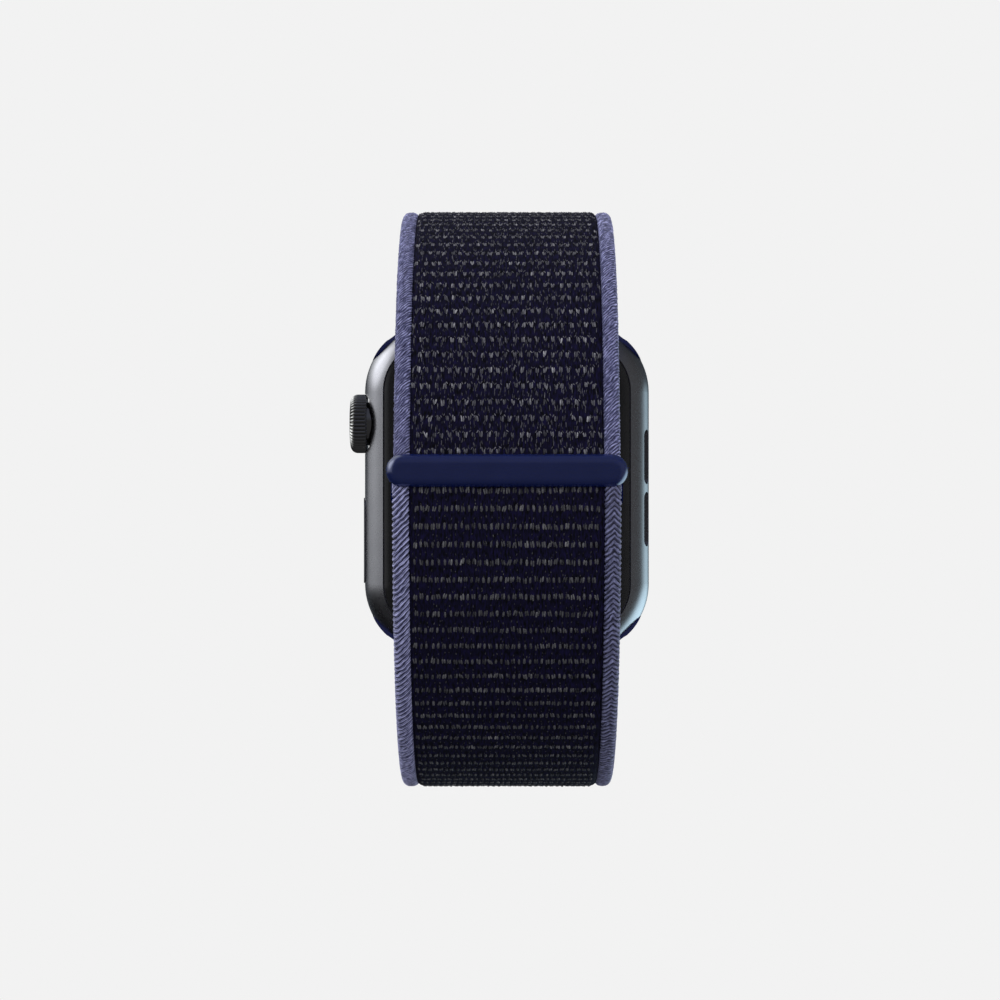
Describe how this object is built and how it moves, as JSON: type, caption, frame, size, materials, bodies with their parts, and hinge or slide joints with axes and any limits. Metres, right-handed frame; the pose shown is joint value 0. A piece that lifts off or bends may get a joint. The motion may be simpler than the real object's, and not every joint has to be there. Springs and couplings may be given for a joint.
{
  "type": "fitness tracker band",
  "caption": "Wrist-worn fitness tracker: metal case with a display, crown and side button, on a woven hook-and-loop band closed through a bar ring.",
  "frame": {"origin": "centre of the opening that the wrist goes through, level with the middle of the case", "axes": "+X across the band to the speaker side, +Y out through the display, +Z to the top of the display"},
  "size_m": [0.0399, 0.0661, 0.0702],
  "materials": {
    "case_metal": "satin",
    "back_ceramic": "gloss",
    "dark_glass": "gloss",
    "seal_rubber": "matte",
    "circuit_board": "satin",
    "led": "gloss",
    "photodiode": "gloss",
    "copper": "satin",
    "steel": "satin",
    "flex_film": "satin",
    "battery_wrap": "matte",
    "dark_plastic": "matte",
    "crown_metal": "satin",
    "crown_inlay": "gloss",
    "switch_plastic": "matte",
    "bushing_bronze": "satin",
    "release_plastic": "satin",
    "navy_plastic": "satin",
    "woven_fabric": "woven",
    "woven_edging": "woven",
    "hook_tape": "matte"
  },
  "bodies": {
    "band": {"connector_upper": "navy_plastic", "connector_lower": "navy_plastic", "connector_catches": "steel", "strap_upper": "woven_fabric", "strap_upper_edges": "woven_edging", "strap_inner": "woven_fabric", "strap_inner_edges": "woven_edging", "strap_fold": "woven_fabric", "strap_fold_edges": "woven_edging", "buckle_ring": "navy_plastic"},
    "tail": {"strap_tail": "woven_fabric", "strap_tail_edges": "woven_edging", "hook_patch": "hook_tape", "end_tab": "navy_plastic"},
    "crown_slide": {"crown_plunger": "switch_plastic"},
    "crown": {"crown_cap": "crown_metal", "crown_ring": "crown_inlay", "crown_shaft": "steel", "crown_wheel": "crown_metal"},
    "side_button": {"side_button": "case_metal"},
    "release_upper": {"release_button_upper": "release_plastic"},
    "release_lower": {"release_button_lower": "release_plastic"},
    "haptic_mass": {"haptic_mass": "steel"},
    "case": {"case_frame": "case_metal", "back_plate": "back_ceramic", "back_gasket": "seal_rubber", "back_crystal": "dark_glass", "sensor_board": "circuit_board", "sensor_leds": "led", "photodiodes": "photodiode", "charge_coil": "copper", "charge_magnet": "steel", "front_glass": "dark_glass", "display_gasket": "seal_rubber", "display_panel": "dark_glass", "display_flex": "flex_film", "battery": "battery_wrap", "logic_board": "circuit_board", "board_shields": "steel", "haptic_housing": "steel", "haptic_springs": "steel", "speaker_module": "dark_plastic", "speaker_mesh": "dark_plastic", "microphone": "steel", "crown_seal": "seal_rubber", "crown_bushing": "bushing_bronze", "crown_encoder": "dark_plastic", "crown_switch": "switch_plastic", "side_button_seal": "seal_rubber", "side_button_switch": "switch_plastic", "release_spring_upper": "steel", "release_spring_lower": "steel"}
  },
  "joints": [
    {"name": "case_slide", "type": "slide", "parent": "band", "child": "case", "axis": [1, 0, 0], "range_m": [-0.04, 0.04]},
    {"name": "tail_peel", "type": "hinge", "parent": "band", "child": "tail", "pos_m": [0, -0.03029, -0.00408], "axis": [-1, 0, 0], "range_deg": [0, 60]},
    {"name": "crown_push", "type": "slide", "parent": "case", "child": "crown_slide", "axis": [1, 0, 0], "range_m": [0, 0.00035], "stiffness_N_per_m": 4000},
    {"name": "crown_turn", "type": "hinge", "parent": "crown_slide", "child": "crown", "pos_m": [-0.0195, 0.0296, 0.0086], "axis": [1, 0, 0], "continuous": true},
    {"name": "side_button_push", "type": "slide", "parent": "case", "child": "side_button", "axis": [1, 0, 0], "range_m": [0, 0.0003], "stiffness_N_per_m": 4000},
    {"name": "release_upper_push", "type": "slide", "parent": "case", "child": "release_upper", "axis": [0, 1, 0], "range_m": [0, 0.00035], "stiffness_N_per_m": 4000, "deforming": ["release_spring_upper"]},
    {"name": "release_lower_push", "type": "slide", "parent": "case", "child": "release_lower", "axis": [0, 1, 0], "range_m": [0, 0.00035], "stiffness_N_per_m": 4000, "deforming": ["release_spring_lower"]},
    {"name": "haptic_slide", "type": "slide", "parent": "case", "child": "haptic_mass", "axis": [1, 0, 0], "range_m": [-0.0008, 0.0008], "stiffness_N_per_m": 3000, "deforming": ["haptic_springs"]}
  ]
}
